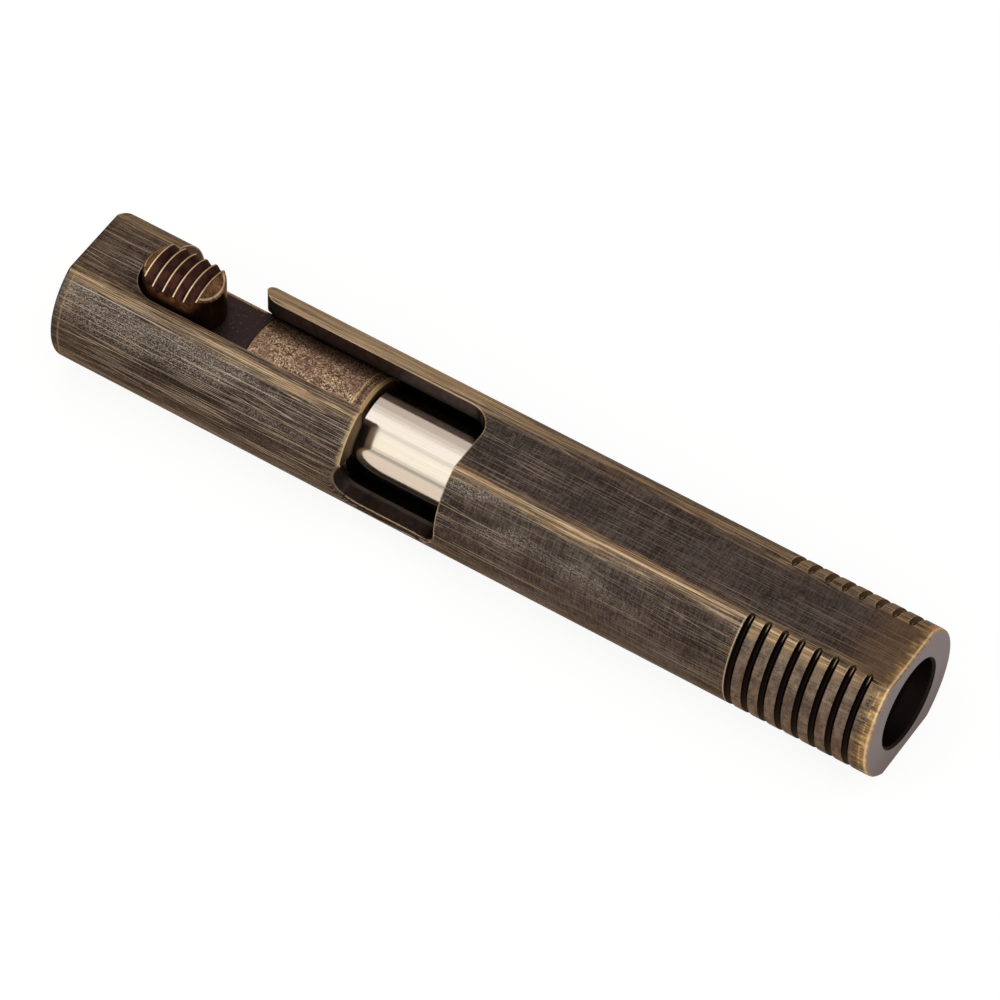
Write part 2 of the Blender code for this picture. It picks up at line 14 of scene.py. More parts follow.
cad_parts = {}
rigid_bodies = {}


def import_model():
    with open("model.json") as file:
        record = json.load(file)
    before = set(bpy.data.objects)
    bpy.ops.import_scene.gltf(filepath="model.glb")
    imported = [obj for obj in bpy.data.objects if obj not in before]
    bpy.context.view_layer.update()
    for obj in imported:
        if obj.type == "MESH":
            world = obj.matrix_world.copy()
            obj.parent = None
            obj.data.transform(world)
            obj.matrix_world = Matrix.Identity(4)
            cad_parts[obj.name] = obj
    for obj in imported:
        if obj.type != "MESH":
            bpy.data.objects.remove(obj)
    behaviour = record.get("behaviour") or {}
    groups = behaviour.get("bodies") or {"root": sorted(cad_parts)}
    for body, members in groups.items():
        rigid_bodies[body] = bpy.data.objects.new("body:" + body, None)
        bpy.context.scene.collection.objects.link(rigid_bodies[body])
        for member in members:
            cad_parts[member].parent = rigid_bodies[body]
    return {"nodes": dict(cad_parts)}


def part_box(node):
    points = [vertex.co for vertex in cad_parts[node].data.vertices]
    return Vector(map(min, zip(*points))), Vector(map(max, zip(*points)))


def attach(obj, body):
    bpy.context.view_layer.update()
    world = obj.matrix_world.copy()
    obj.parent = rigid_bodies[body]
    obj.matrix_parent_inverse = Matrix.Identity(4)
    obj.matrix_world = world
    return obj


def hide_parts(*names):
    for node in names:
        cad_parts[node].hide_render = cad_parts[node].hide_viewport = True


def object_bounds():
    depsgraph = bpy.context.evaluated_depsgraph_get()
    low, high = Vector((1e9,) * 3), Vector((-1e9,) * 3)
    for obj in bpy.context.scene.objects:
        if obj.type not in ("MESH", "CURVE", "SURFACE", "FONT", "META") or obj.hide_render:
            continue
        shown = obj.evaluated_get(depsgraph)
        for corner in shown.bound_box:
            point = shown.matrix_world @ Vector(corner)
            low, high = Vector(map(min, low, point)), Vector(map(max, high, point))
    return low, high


for old in list(bpy.data.objects):
    bpy.data.objects.remove(old, do_unlink=True)

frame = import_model()
cad_low, cad_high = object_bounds()

MM = 0.001

# ---------------------------------------------------------------- sizes from the CAD model (mm)


def node_box(node):
    """A CAD node's lowest and highest corners in millimetres."""
    low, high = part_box(node)
    return low / MM, high / MM


bar_low, bar_high = node_box("receiver")
bolt_high = node_box("bolt")[1]
button_low, button_high = node_box("thumb_button")

AXIS_HEIGHT = (bar_low.z + bar_high.z) / 2
BAR_RADIUS = (bar_high.y - bar_low.y) / 2
MUZZLE = bar_high.x
REAR = bar_low.x
HALF_FLATS = (bar_high.z - bar_low.z) / 2
FRONT_BORE_RADIUS = 4.5
BORE_STEP = 15.1  # where the bore narrows
PORT_REAR = -12.4
PORT_FRONT = -1.7
PORT_WORN_FROM = -6.0  # behind this, the wear at the port's rear is full
SILL_TOP = -1.6  # port's sill, above the bore axis
LEG_REAR = -29.0  # rubbed part of the locking leg
LEG_FRONT = 6.0
GROOVES_REAR = MUZZLE - 16.5  # behind the rearmost grip groove
GROOVES_FRONT = MUZZLE - 1.4  # ahead of the foremost one
FIRST_GROOVE = GROOVES_REAR + 1.26  # the rearmost groove's edge
EDGES_FROM = 6.05  # sharp edges within this radius stay dark
BUTTON_X = (button_low.x + button_high.x) / 2
BOLT_FLAT_HEIGHT = 3.9  # flat on the bolt above the bore axis
BOLT_FLAT_FRONT = bolt_high.x - 13.0
BOLT_LINE = bolt_high.x - 1.15  # turned line near the bolt's front
BUTTON_RADIUS = (button_high.y - button_low.y) / 2
BUTTON_STRAIGHT = (button_high.x - button_low.x) / 2 - BUTTON_RADIUS
TOOTH_PITCH = 1.16  # thumb grooves
TEETH_REACH = 2.5 * TOOTH_PITCH + 0.1

# ---------------------------------------------------------------- colours (linear)

PATINA_DARK = (0.039, 0.029, 0.026)
PATINA_MID = (0.104, 0.082, 0.073)
PATINA_LIGHT = (0.28, 0.226, 0.188)
BLOOM = (0.60, 0.52, 0.45)
BRASS_DULL = (0.23, 0.138, 0.072)
BRASS_WORN = (0.43, 0.27, 0.135)
BRASS_GOLD = (0.70, 0.44, 0.17)
BRASS_BRIGHT = (0.92, 0.71, 0.45)
SCRATCH = (0.70, 0.55, 0.40)
BORE_BROWN = (0.060, 0.050, 0.047)
BORE_BLACK = (0.018, 0.014, 0.013)
CUT_BROWN = (0.115, 0.078, 0.076)
SILL_BROWN = (0.032, 0.020, 0.018)
GROOVE_BLACK = (0.013, 0.009, 0.008)
FACE_GREY = (0.295, 0.295, 0.352)
FACE_DARK = (0.250, 0.245, 0.285)
# Painted contact shadow at the bottom of the front face
FACE_PAINTED_SHADOW = (0.10, 0.085, 0.085)
REAR_FACE_DARK = (0.075, 0.056, 0.048)
REAR_FACE_MID = (0.125, 0.098, 0.086)
LAND_DARK = (0.130, 0.092, 0.070)
LAND_LIGHT = (0.340, 0.242, 0.178)
LEG_RUBBED = (0.74, 0.53, 0.31)
LIP_RUBBED = (0.78, 0.56, 0.31)
EDGE_RUBBED = (0.86, 0.64, 0.37)
END_BROWN = (0.25, 0.135, 0.050)
# Painted light: lit colour of the port's rear wall
PORT_WALL_LIT = (0.170, 0.130, 0.092)
SILL_BLACK = (0.020, 0.013, 0.012)
# Painted light: grooves on the far side, lit from behind
FAR_GROOVE_LIT = (0.055, 0.034, 0.022)
BOLT_DARK = (0.085, 0.046, 0.028)
BOLT_GOLDEN = (0.45, 0.288, 0.172)
BOLT_GRAIN = (1.0, 0.82, 0.58)
BOLT_CLOUD = (0.20, 0.112, 0.085)
BOLT_EDGE = (0.86, 0.58, 0.26)
BOLT_END = (0.20, 0.115, 0.062)
BOLT_END_LOW = (0.05, 0.03, 0.02)
MILLED_DARK = (0.050, 0.034, 0.033)
MILLED_FLECK = (0.20, 0.155, 0.145)
BUTTON_DARK = (0.085, 0.032, 0.019)
BUTTON_BROWN = (0.25, 0.120, 0.058)
BUTTON_GRAIN = (0.52, 0.34, 0.19)
BUTTON_SHADE = (0.070, 0.033, 0.017)
BUTTON_CREST = (0.86, 0.64, 0.39)
TOOTH_BLACK = (0.022, 0.010, 0.010)
TOOTH_BROWN = (0.070, 0.027, 0.019)
STEEL_DARK = (0.80, 0.715, 0.615)
STEEL_LIGHT = (0.85, 0.77, 0.675)
STEEL_STAIN = (0.60, 0.50, 0.40)
PATINA_TINT = (0.60, 0.53, 0.46)  # of gloss seen at a low angle
BRASS_TINT = (0.7, 0.6, 0.5)
DARKER = (0.57, 0.51, 0.49)  # multiplies the patina for painted shade low on the sides, and darker towards the front
REAR_TOP_WARMTH = (0.80, 0.73, 0.62)


# ---------------------------------------------------------------- material nodes

EDGE_TURN_STARTS = 0.015  # how far a rounded normal turns on a sharp edge
EDGE_TURN_ENDS = 0.16


class Finish:
    """A Principled material and short calls for the nodes that drive it.

    Places are in millimetres in the piece's own frame. A value is a socket or a number.
    """

    def __init__(self, name, edge_tint=None):
        self.material = bpy.data.materials.new(name)
        self.material.use_nodes = True
        self.tree = self.material.node_tree
        self.shader = self.tree.nodes["Principled BSDF"]
        if edge_tint:
            self.feed(self.shader.inputs["Specular Tint"], edge_tint)
        coordinates = self.node("ShaderNodeTexCoord")
        self.place = self.vector("SCALE", coordinates.outputs["Object"], scale=1 / MM)
        self.x, self.y, self.z = self.split(self.place)
        self.height = self.math("SUBTRACT", self.z, AXIS_HEIGHT)
        squares = self.math("MULTIPLY_ADD", self.y, self.y, self.math("POWER", self.height, 2.0))
        self.radius = self.math("SQRT", squares)
        facet = self.node("ShaderNodeNewGeometry").outputs["True Normal"]
        self.facing_x, _, self.facing_z = self.split(facet)

    def node(self, kind, **settings):
        made = self.tree.nodes.new(kind)
        for key, value in settings.items():
            setattr(made, key, value)
        return made

    def feed(self, socket, value):
        if isinstance(value, bpy.types.NodeSocket):
            self.tree.links.new(value, socket)
        elif isinstance(value, tuple) and socket.type == "RGBA":
            socket.default_value = (*value, 1.0)
        else:
            socket.default_value = value

    def split(self, vector):
        parts = self.node("ShaderNodeSeparateXYZ")
        self.feed(parts.inputs[0], vector)
        return parts.outputs

    def join(self, x, y, z):
        whole = self.node("ShaderNodeCombineXYZ")
        for socket, value in zip(whole.inputs, (x, y, z)):
            self.feed(socket, value)
        return whole.outputs[0]

    def math(self, operation, *values):
        made = self.node("ShaderNodeMath", operation=operation)
        for socket, value in zip(made.inputs, values):
            self.feed(socket, value)
        return made.outputs[0]

    def vector(self, operation, *values, scale=None):
        made = self.node("ShaderNodeVectorMath", operation=operation)
        for socket, value in zip(made.inputs, values):
            self.feed(socket, value)
        if scale is not None:
            self.feed(made.inputs["Scale"], scale)
        return made.outputs["Value"] if operation == "DOT_PRODUCT" else made.outputs["Vector"]

    def times(self, *values):
        product = values[0]
        for value in values[1:]:
            product = self.math("MULTIPLY", product, value)
        return product

    def most(self, *values):
        result = values[0]
        for value in values[1:]:
            result = self.math("MAXIMUM", result, value)
        return result

    def size(self, value):
        return self.math("ABSOLUTE", value)

    def less(self, value):
        """One minus a mask."""
        return self.math("SUBTRACT", 1.0, value)

    def ramp(self, value, start, end, low=0.0, high=1.0):
        """Smooth step from low at start to high at end. Start may be the larger."""
        made = self.node("ShaderNodeMapRange", interpolation_type="SMOOTHSTEP")
        if start > end:
            start, end, low, high = end, start, high, low
        for socket, number in zip(made.inputs, (value, start, end, low, high)):
            self.feed(socket, number)
        return made.outputs[0]

    def peak(self, value, middle, reach):
        """1 at a value, falling to 0 a reach either side."""
        return self.ramp(self.size(self.math("SUBTRACT", value, middle)), reach, 0.0)

    def noise(self, scale, detail=3.0, roughness=0.55, shift=0.0, source=None, turn=0.0):
        """Noise with features per millimetre along X, Y and Z, or one number for all three.

        turn swings the pattern about the source's Z, in degrees, before it is stretched.
        """
        sizes = scale if isinstance(scale, tuple) else (scale, scale, scale)
        pattern = self.place if source is None else source
        if turn:
            swing = self.node("ShaderNodeMapping")
            self.feed(swing.inputs["Vector"], pattern)
            swing.inputs["Rotation"].default_value = (0, 0, math.radians(turn))
            pattern = swing.outputs[0]
        mapped = self.node("ShaderNodeMapping")
        self.feed(mapped.inputs["Vector"], pattern)
        mapped.inputs["Scale"].default_value = sizes
        mapped.inputs["Location"].default_value = (shift, shift * 1.7, shift * 0.6)
        made = self.node("ShaderNodeTexNoise")
        self.feed(made.inputs["Vector"], mapped.outputs[0])
        made.inputs["Scale"].default_value = 1.0
        made.inputs["Detail"].default_value = detail
        made.inputs["Roughness"].default_value = roughness
        return made.outputs["Fac"]

    def scratches(self, sheet, turn, length, width, start, shift):
        """Thin straight marks at an angle to X, on a flat sheet of the surface. Sizes in mm."""
        scale = (1 / length, 1 / width, 1.0)
        marks = self.noise(scale, detail=1.0, roughness=0.3, shift=shift, source=sheet, turn=turn)
        return self.ramp(marks, start, start + 0.035)

    def mix(self, share, first, second):
        """First colour where share is 0, second where it is 1."""
        made = self.node("ShaderNodeMix", data_type="RGBA")
        self.feed(made.inputs["Factor"], share)
        self.feed(made.inputs[6], first)
        self.feed(made.inputs[7], second)
        return made.outputs[2]

    def blend(self, share, first, second):
        """The same with plain numbers."""
        made = self.node("ShaderNodeMix", data_type="FLOAT")
        self.feed(made.inputs["Factor"], share)
        self.feed(made.inputs[2], first)
        self.feed(made.inputs[3], second)
        return made.outputs[0]

    def rounded(self, radius):
        """Normals as if edges were rounded to a radius in mm."""
        made = self.node("ShaderNodeBevel", samples=6)
        made.inputs["Radius"].default_value = radius * MM
        return made.outputs[0]

    def edges(self, radius):
        """Mask of the sharp edges of a piece, within about a radius in mm."""
        flat = self.node("ShaderNodeNewGeometry").outputs["Normal"]
        turn = self.less(self.vector("DOT_PRODUCT", self.rounded(radius), flat))
        return self.ramp(turn, EDGE_TURN_STARTS, EDGE_TURN_ENDS)

    def bump(self, height, depth, strength=1.0, normal=None):
        """Normals of a relief whose height of 1 stands a depth in mm."""
        made = self.node("ShaderNodeBump")
        made.inputs["Distance"].default_value = depth * MM
        self.feed(made.inputs["Strength"], strength)
        self.feed(made.inputs["Height"], height)
        if normal is not None:
            self.feed(made.inputs["Normal"], normal)
        return made.outputs[0]

    def finish(self, colour, roughness, metallic, normal=None):
        self.feed(self.shader.inputs["Base Color"], colour)
        self.feed(self.shader.inputs["Roughness"], roughness)
        self.feed(self.shader.inputs["Metallic"], metallic)
        if normal is not None:
            self.feed(self.shader.inputs["Normal"], normal)
        return self.material


# ---------------------------------------------------------------- materials

RIDGE_AROUND = math.asin(math.sqrt(1 - (HALF_FLATS / BAR_RADIUS) ** 2)) * BAR_RADIUS
HALF_ROUND = math.pi * BAR_RADIUS / 2
ROUND_STARTS = MUZZLE - 0.85  # rounded end edges begin here
MIDDLE = 0.52  # value of the patina's noises that contrast leaves alone


def aged_brass():
    """Bar: dark patina brushed along its length, rubbed to bright brass on ridges and edges."""
    s = Finish("aged_brass", edge_tint=PATINA_TINT)

    # The bar's skin laid flat: along, and round from the top's middle, in mm. A ridge distance
    # is 0 on the ridges between flats and sides, positive on the flats and negative on the sides.
    round_from_top = s.math("ARCTAN2", s.math("MULTIPLY", s.y, -1.0), s.height)
    around = s.math("MULTIPLY", round_from_top, BAR_RADIUS)
    sheet = s.join(s.x, around, 0.0)
    from_side = s.size(s.math("SUBTRACT", s.size(around), HALF_ROUND))
    ridge = s.math("SUBTRACT", from_side, HALF_ROUND - RIDGE_AROUND)
    past_end = s.size(s.x)
    side = s.ramp(ridge, 0.0, -0.8)

    # Patina: long brush lines, short ones, lines across and fine speckle, strongest to the rear
    clouds = s.noise(0.13, detail=3.0, roughness=0.6)
    long_lines = s.noise((0.09, 10.0, 10.0), detail=5.0, roughness=0.75, shift=3.0)
    short_lines = s.noise((0.9, 8.0, 8.0), detail=4.0, roughness=0.65, shift=8.0)
    cross_lines = s.noise((6.5, 0.9, 1.0), detail=4.0, shift=6.0, source=sheet, turn=4.0)
    speckle = s.noise(5.5, detail=3.0, roughness=0.75, shift=1.0)
    along = s.ramp(s.x, 6.0, -14.0, 0.20, 0.38)
    value = s.math("ADD", s.times(long_lines, along), s.times(short_lines, 0.20))
    value = s.math("ADD", value, s.math("ADD", s.times(speckle, 0.18), s.times(clouds, 0.16)))
    woven = s.math("SUBTRACT", 0.45, along)
    value = s.math("ADD", value, s.times(cross_lines, woven))
    contrast = s.ramp(s.x, 8.0, -16.0, 0.95, 1.75)
    value = s.math("MULTIPLY_ADD", s.math("SUBTRACT", value, MIDDLE), contrast, MIDDLE)
    tone = s.mix(s.ramp(value, 0.455, 0.520), PATINA_DARK, PATINA_MID)
    tone = s.mix(s.ramp(value, 0.530, 0.640), tone, PATINA_LIGHT)
    # Painted shade: the patina is darkened low on the sides, and also darker towards the front
    lower_side_painted_shade = s.times(s.ramp(ridge, -1.6, -4.4), s.ramp(s.x, 14.0, -6.0, 0.35, 1.0))
    front_darkening_and_side_shade = s.most(s.times(s.ramp(s.x, 12.0, 32.0), 0.65), lower_side_painted_shade)
    tone = s.mix(s.times(front_darkening_and_side_shade, 0.70), tone, s.vector("MULTIPLY", tone, DARKER))
    rear_top = s.times(s.ramp(s.x, -22.0, -32.0), s.ramp(ridge, -1.0, 0.5))
    tone = s.mix(rear_top, tone, s.vector("MULTIPLY", tone, REAR_TOP_WARMTH))

    # Brown brass glints through in brushed lines, more beside the ridges and near the ends
    near_ridge = s.times(s.ramp(ridge, -2.4, -0.6), s.ramp(ridge, 2.0, 0.3))
    near_end = s.most(s.ramp(s.x, MUZZLE - 7.0, MUZZLE - 1.0), s.ramp(s.x, REAR + 7.0, REAR + 0.5))
    gripped = s.times(s.ramp(s.x, GROOVES_REAR, GROOVES_REAR + 0.2),
                      s.ramp(s.x, GROOVES_FRONT, GROOVES_FRONT - 0.3))
    glint_place = s.most(0.20, s.times(near_ridge, 0.9), s.times(near_end, 0.85),
                         s.times(gripped, side, 0.75))
    glints = s.ramp(s.noise((0.09, 6.5, 6.5), detail=6.0, roughness=0.75, shift=15.0), 0.49, 0.63)
    tone = s.mix(s.times(glints, glint_place), tone, BRASS_DULL)

    # Pale bloom of fine marks along the upper sides, in patches
    patches = s.ramp(s.noise((0.10, 0.30, 0.30), detail=2.0, shift=7.0), 0.44, 0.56)
    upper_side = s.times(s.ramp(ridge, -6.5, -3.2), s.ramp(ridge, -0.4, -1.2))
    flecks = s.noise((5.0, 10.0, 10.0), detail=4.0, roughness=0.85, shift=4.0)
    rearward = s.ramp(s.x, 25.0, -5.0, 0.5, 0.85)
    bloom = s.times(patches, s.ramp(flecks, 0.50, 0.61), rearward,
                    s.most(0.14, s.times(upper_side, 0.85)))
    tone = s.mix(bloom, tone, BLOOM)

    # Scratches: long ones along the bar, some askew, short crossed ones and a few curled hairs
    bends = s.noise(0.32, detail=0.5, shift=21.0)
    hairs = s.times(s.peak(bends, 0.50, 0.005),
                    s.ramp(s.noise(0.30, detail=1.0, shift=31.0), 0.60, 0.64))
    marks = s.most(
        s.times(s.scratches(sheet, 0.0, 16.0, 0.085, 0.68, 1.0), 0.80),
        s.times(s.scratches(sheet, 1.2, 11.0, 0.065, 0.675, 27.0), 0.70),
        s.times(s.scratches(sheet, 3.5, 9.0, 0.09, 0.705, 5.0), 0.65),
        s.times(s.scratches(sheet, -5.0, 7.0, 0.09, 0.705, 9.0), 0.65),
        s.times(s.scratches(sheet, 62.0, 2.2, 0.10, 0.76, 13.0), 0.30),
        s.times(s.scratches(sheet, 84.0, 3.0, 0.10, 0.745, 17.0), 0.28),
        s.times(hairs, 0.30),
    )
    marks = s.times(marks, s.ramp(s.x, 16.0, -8.0, 0.38, 0.92))
    tone = s.mix(marks, tone, SCRATCH)

    # Lands between the grip grooves, handled smooth
    handled = s.ramp(s.noise((1.2, 0.8, 0.8), detail=4.0, roughness=0.7, shift=23.0), 0.38, 0.62)
    land = s.mix(handled, LAND_DARK, LAND_LIGHT)
    lands = s.times(s.ramp(s.x, FIRST_GROOVE + 0.04, FIRST_GROOVE + 0.34), gripped, side)
    land = s.mix(s.times(s.ramp(ridge, -2.6, -0.4), 0.6), land, BRASS_WORN)
    tone = s.mix(s.times(lands, 0.5), tone, land)

    # Ridges rubbed to brass, with bright hairlines along them
    rub = s.noise((0.10, 1.5, 1.5), detail=5.0, roughness=0.7, shift=5.0)
    fray = s.times(s.math("SUBTRACT", s.noise((0.22, 2.5, 2.5), detail=5.0, shift=19.0), 0.5), 3.0)
    frayed = s.math("ADD", ridge, fray)
    on_ridge = s.times(s.ramp(frayed, -1.25, -0.45), s.ramp(frayed, 0.75, 0.05))
    by_port = s.ramp(s.size(s.math("SUBTRACT", s.x, PORT_FRONT + 3.0)), 9.0, 2.0)
    rubbed = s.most(s.ramp(rub, 0.38, 0.58, 0.30, 0.95), by_port)
    worn_ridge = s.times(on_ridge, rubbed)
    lines = s.noise((0.06, 8.0, 8.0), detail=5.0, roughness=0.8, shift=9.0)
    tone = s.mix(s.times(worn_ridge, s.ramp(lines, 0.42, 0.56, 0.05, 0.90)), tone, BRASS_WORN)
    bright_lines = s.times(s.ramp(lines, 0.53, 0.59), on_ridge)
    crest = s.times(s.peak(ridge, -0.18, 0.14), s.ramp(rub, 0.42, 0.56))
    tone = s.mix(s.most(s.times(bright_lines, 0.5), s.times(crest, 0.5)), tone, BRASS_BRIGHT)

    # Locking leg, its top rubbed by the thumb
    leg_top = s.ramp(s.math("ADD", s.height, fray), 3.4, 5.2)
    leg_length = s.times(s.ramp(s.x, LEG_FRONT, LEG_FRONT - 10.0),
                         s.ramp(s.x, LEG_REAR, LEG_REAR + 2.0))
    leg = s.times(leg_top, s.ramp(s.y, 2.4, 3.6), leg_length)
    dark_lines = s.ramp(long_lines, 0.42, 0.54, 0.10, 1.0)
    leg_lines = s.times(s.ramp(lines, 0.42, 0.54, 0.15, 0.85), dark_lines)
    tone = s.mix(s.times(leg, leg_lines), tone, LEG_RUBBED)

    # Front end: flats that warm towards it, and a rounded edge rubbed gold, ragged where it
    # meets the patina, with a pale line along the face
    rag = s.noise((0.35, 3.5, 3.5), detail=5.0, roughness=0.7, shift=2.0)
    spots = s.noise((0.8, 1.6, 1.6), detail=5.0, roughness=0.75, shift=11.0)
    warm_flat = s.times(s.ramp(s.x, 37.5, 42.5), s.less(side))
    tone = s.mix(s.times(warm_flat, 0.40), tone, BRASS_DULL)
    end_edge = s.math("ADD", s.x, s.times(s.math("SUBTRACT", rag, 0.5), 4.6))
    end_edge = s.math("SUBTRACT", end_edge, s.times(s.less(side), 0.3))
    gold = s.ramp(end_edge, ROUND_STARTS - 0.9, ROUND_STARTS + 0.9)
    worn_end = s.mix(s.ramp(spots, 0.39, 0.64), END_BROWN, BRASS_GOLD)
    tone = s.mix(s.times(gold, 0.92), tone, worn_end)
    seam = s.times(s.peak(s.x, ROUND_STARTS, 0.14), s.ramp(rag, 0.42, 0.60), side)
    tone = s.mix(s.times(seam, 0.45), tone, BRASS_BRIGHT)
    end_line = s.times(s.peak(s.x, MUZZLE - 0.22, 0.20), s.ramp(rag, 0.30, 0.55, 0.35, 0.75))
    tone = s.mix(end_line, tone, BRASS_BRIGHT)

    # Rear end: a thin gold line where the edge begins to round, then painted shade darkening the
    # round as it turns away
    rear_round_painted_shade = s.ramp(s.x, -ROUND_STARTS, -ROUND_STARTS - 0.25)
    tone = s.mix(s.times(rear_round_painted_shade, s.blend(side, 0.15, 0.35)), tone, PATINA_DARK)
    rear_seam = s.times(s.peak(s.x, -ROUND_STARTS + 0.05, 0.15), s.ramp(rag, 0.30, 0.50), side)
    tone = s.mix(s.times(rear_seam, 0.6), tone, BRASS_WORN)

    # Port's rear lip, rubbed bright where the button's edge passes it
    lip = s.math("ADD", s.x, s.times(s.math("SUBTRACT", rag, 0.5), 1.6))
    port_rear = s.ramp(s.x, PORT_FRONT, PORT_WORN_FROM)
    lip = s.times(s.ramp(lip, PORT_REAR - 0.55, PORT_REAR - 0.05), port_rear,
                  s.ramp(s.y, -2.0, -4.0), s.ramp(s.height, 0.3, 2.6))
    tone = s.mix(s.times(lip, 0.55), tone, LIP_RUBBED)

    # Cut faces keep the dark patina: slot walls, port sill, bore and grooves. Painted light
    # lightens the port's rear wall and the grooves on the far side.
    below_flats = s.ramp(s.size(s.height), HALF_FLATS - 0.02, HALF_FLATS - 0.06)
    within = s.ramp(s.radius, BAR_RADIUS - 0.12, BAR_RADIUS - 0.2)
    walls = s.times(within, below_flats, s.ramp(past_end, ROUND_STARTS - 0.1, ROUND_STARTS - 0.3))
    deep = s.ramp(s.radius, FRONT_BORE_RADIUS + 1.4, FRONT_BORE_RADIUS + 1.1)
    inside = s.times(within, below_flats, s.ramp(s.size(s.facing_x), 0.999, 0.9985), deep)
    cut = s.most(walls, inside)
    sill = s.times(s.ramp(s.height, SILL_TOP, SILL_TOP - 0.6), s.less(deep))
    mottle = s.ramp(s.noise(1.3, detail=4.0, roughness=0.7), 0.35, 0.65)
    bored = s.mix(s.ramp(s.x, BORE_STEP - 0.5, BORE_STEP), BORE_BROWN, BORE_BLACK)
    fresh = s.mix(s.times(mottle, s.less(deep)), bored, CUT_BROWN)
    fresh = s.mix(sill, fresh, s.mix(mottle, SILL_BLACK, SILL_BROWN))
    # Painted light: the port's rear wall, where it faces the front, lighter than the other cut
    # faces
    port_wall_painted_light = s.times(s.ramp(s.facing_x, 0.4, 0.8), s.ramp(s.y, -2.5, -4.0), s.less(deep),
                        port_rear, s.ramp(s.height, -1.5, 0.5))
    fresh = s.mix(port_wall_painted_light, fresh, PORT_WALL_LIT)
    tone = s.mix(cut, tone, fresh)
    slant = s.ramp(s.size(s.facing_x), 0.25, 0.40)
    sunk = s.times(s.ramp(s.radius, BAR_RADIUS - 0.04, BAR_RADIUS - 0.10), below_flats)
    grooves = s.times(s.most(slant, sunk), gripped, s.less(deep))
    # Grooves near black in their patina; on the far side lighter brown, as painted light
    tone = s.mix(grooves, tone, s.mix(s.ramp(s.y, 0.0, 3.0), GROOVE_BLACK, FAR_GROOVE_LIT))

    # Faced front end, with faint turning marks
    faced = s.times(s.ramp(s.facing_x, 0.95, 0.99), s.ramp(s.x, MUZZLE - 0.06, MUZZLE - 0.01))
    rings = s.noise((0.2, 9.0, 9.0), detail=2.0, source=s.join(0.0, s.radius, 0.0))
    face = s.mix(s.ramp(rings, 0.35, 0.65), FACE_GREY, FACE_DARK)
    # Painted contact shadow: the face is darker towards its bottom
    face = s.mix(s.times(s.ramp(s.height, 1.0, -6.5), 0.45), face, FACE_PAINTED_SHADOW)
    tone = s.mix(faced, tone, face)
    rear_faced = s.times(s.ramp(s.facing_x, -0.95, -0.99), s.ramp(s.x, REAR + 1.6, REAR + 1.5))
    dark_face = s.mix(s.ramp(rings, 0.35, 0.65), REAR_FACE_DARK, REAR_FACE_MID)
    dark_face = s.mix(s.times(s.ramp(speckle, 0.55, 0.7), 0.5), dark_face, PATINA_LIGHT)
    tone = s.mix(rear_faced, tone, dark_face)

    # Thin bright line on the sharp outer edges
    outer = s.times(s.ramp(s.radius, EDGES_FROM, EDGES_FROM + 0.25), s.less(s.times(gripped, side)))
    edge = s.times(s.edges(0.25), outer, s.ramp(rub, 0.25, 0.60, 0.40, 1.0))
    tone = s.mix(edge, tone, EDGE_RUBBED)
    first_groove = s.times(s.peak(s.x, FIRST_GROOVE, 0.10), side)
    tone = s.mix(s.times(first_groove, 0.5), tone, BRASS_BRIGHT)

    worn = s.most(worn_ridge, gold)
    rough = s.blend(worn, s.ramp(value, 0.45, 0.65, 0.46, 0.36), 0.30)
    rough = s.blend(s.most(cut, grooves), rough, 0.45)
    rough = s.blend(s.most(faced, rear_faced), rough, 0.34)
    relief = s.math("ADD", s.times(long_lines, 0.6), s.math("ADD", s.times(speckle, 0.5), marks))
    strength = s.times(s.less(faced), s.less(cut), 0.55)
    normal = s.bump(relief, 0.03, strength, s.rounded(0.12))
    return s.finish(tone, rough, 0.94, normal)


